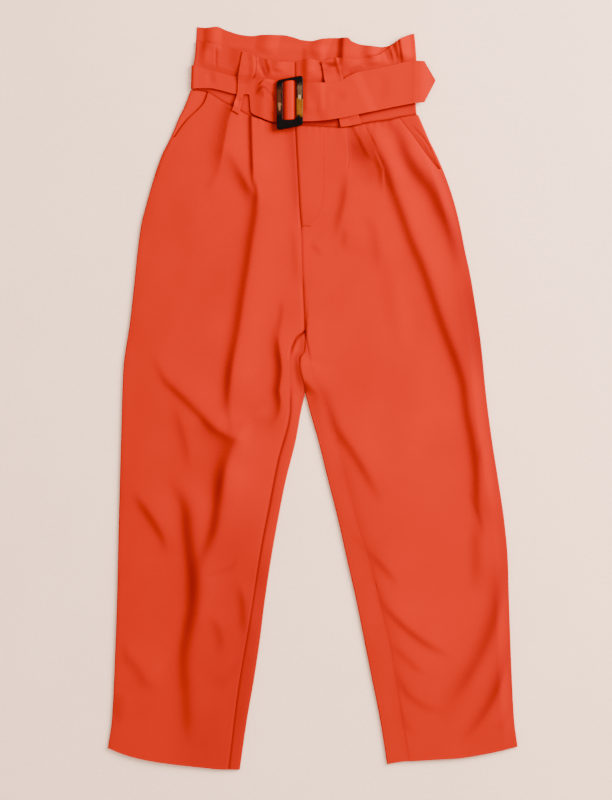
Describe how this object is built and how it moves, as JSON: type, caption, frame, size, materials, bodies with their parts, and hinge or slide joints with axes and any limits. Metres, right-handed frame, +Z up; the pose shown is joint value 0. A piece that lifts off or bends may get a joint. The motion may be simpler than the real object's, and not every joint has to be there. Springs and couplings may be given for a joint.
{
  "type": "paperbag waist trousers",
  "caption": "High paperbag waist trousers with pleats and slant pockets, laid flat on their back, with a self belt through a tortoiseshell slider buckle.",
  "frame": {"origin": "under the middle of the laid garment, on the surface it lies on", "axes": "+Y from the hems to the waist, +X to the wearer's left, +Z up through the front, which faces up"},
  "size_m": [0.5528, 1.0019, 0.0158],
  "materials": {
    "cloth": "matt fine twill, orange red",
    "tortoiseshell": "polished tortoiseshell resin, dark brown and amber"
  },
  "bodies": {
    "root": {"front_right": "cloth", "front_left": "cloth", "back_right": "cloth", "back_left": "cloth", "pocket_side_right": "cloth", "pocket_side_left": "cloth", "fly_shield": "cloth", "waistband_front_right": "cloth", "waistband_front_left": "cloth", "waistband_back": "cloth", "loop_right": "cloth", "loop_left": "cloth", "loop_back": "cloth", "belt_front": "cloth", "belt_back": "cloth", "buckle": "tortoiseshell"}
  },
  "joints": []
}
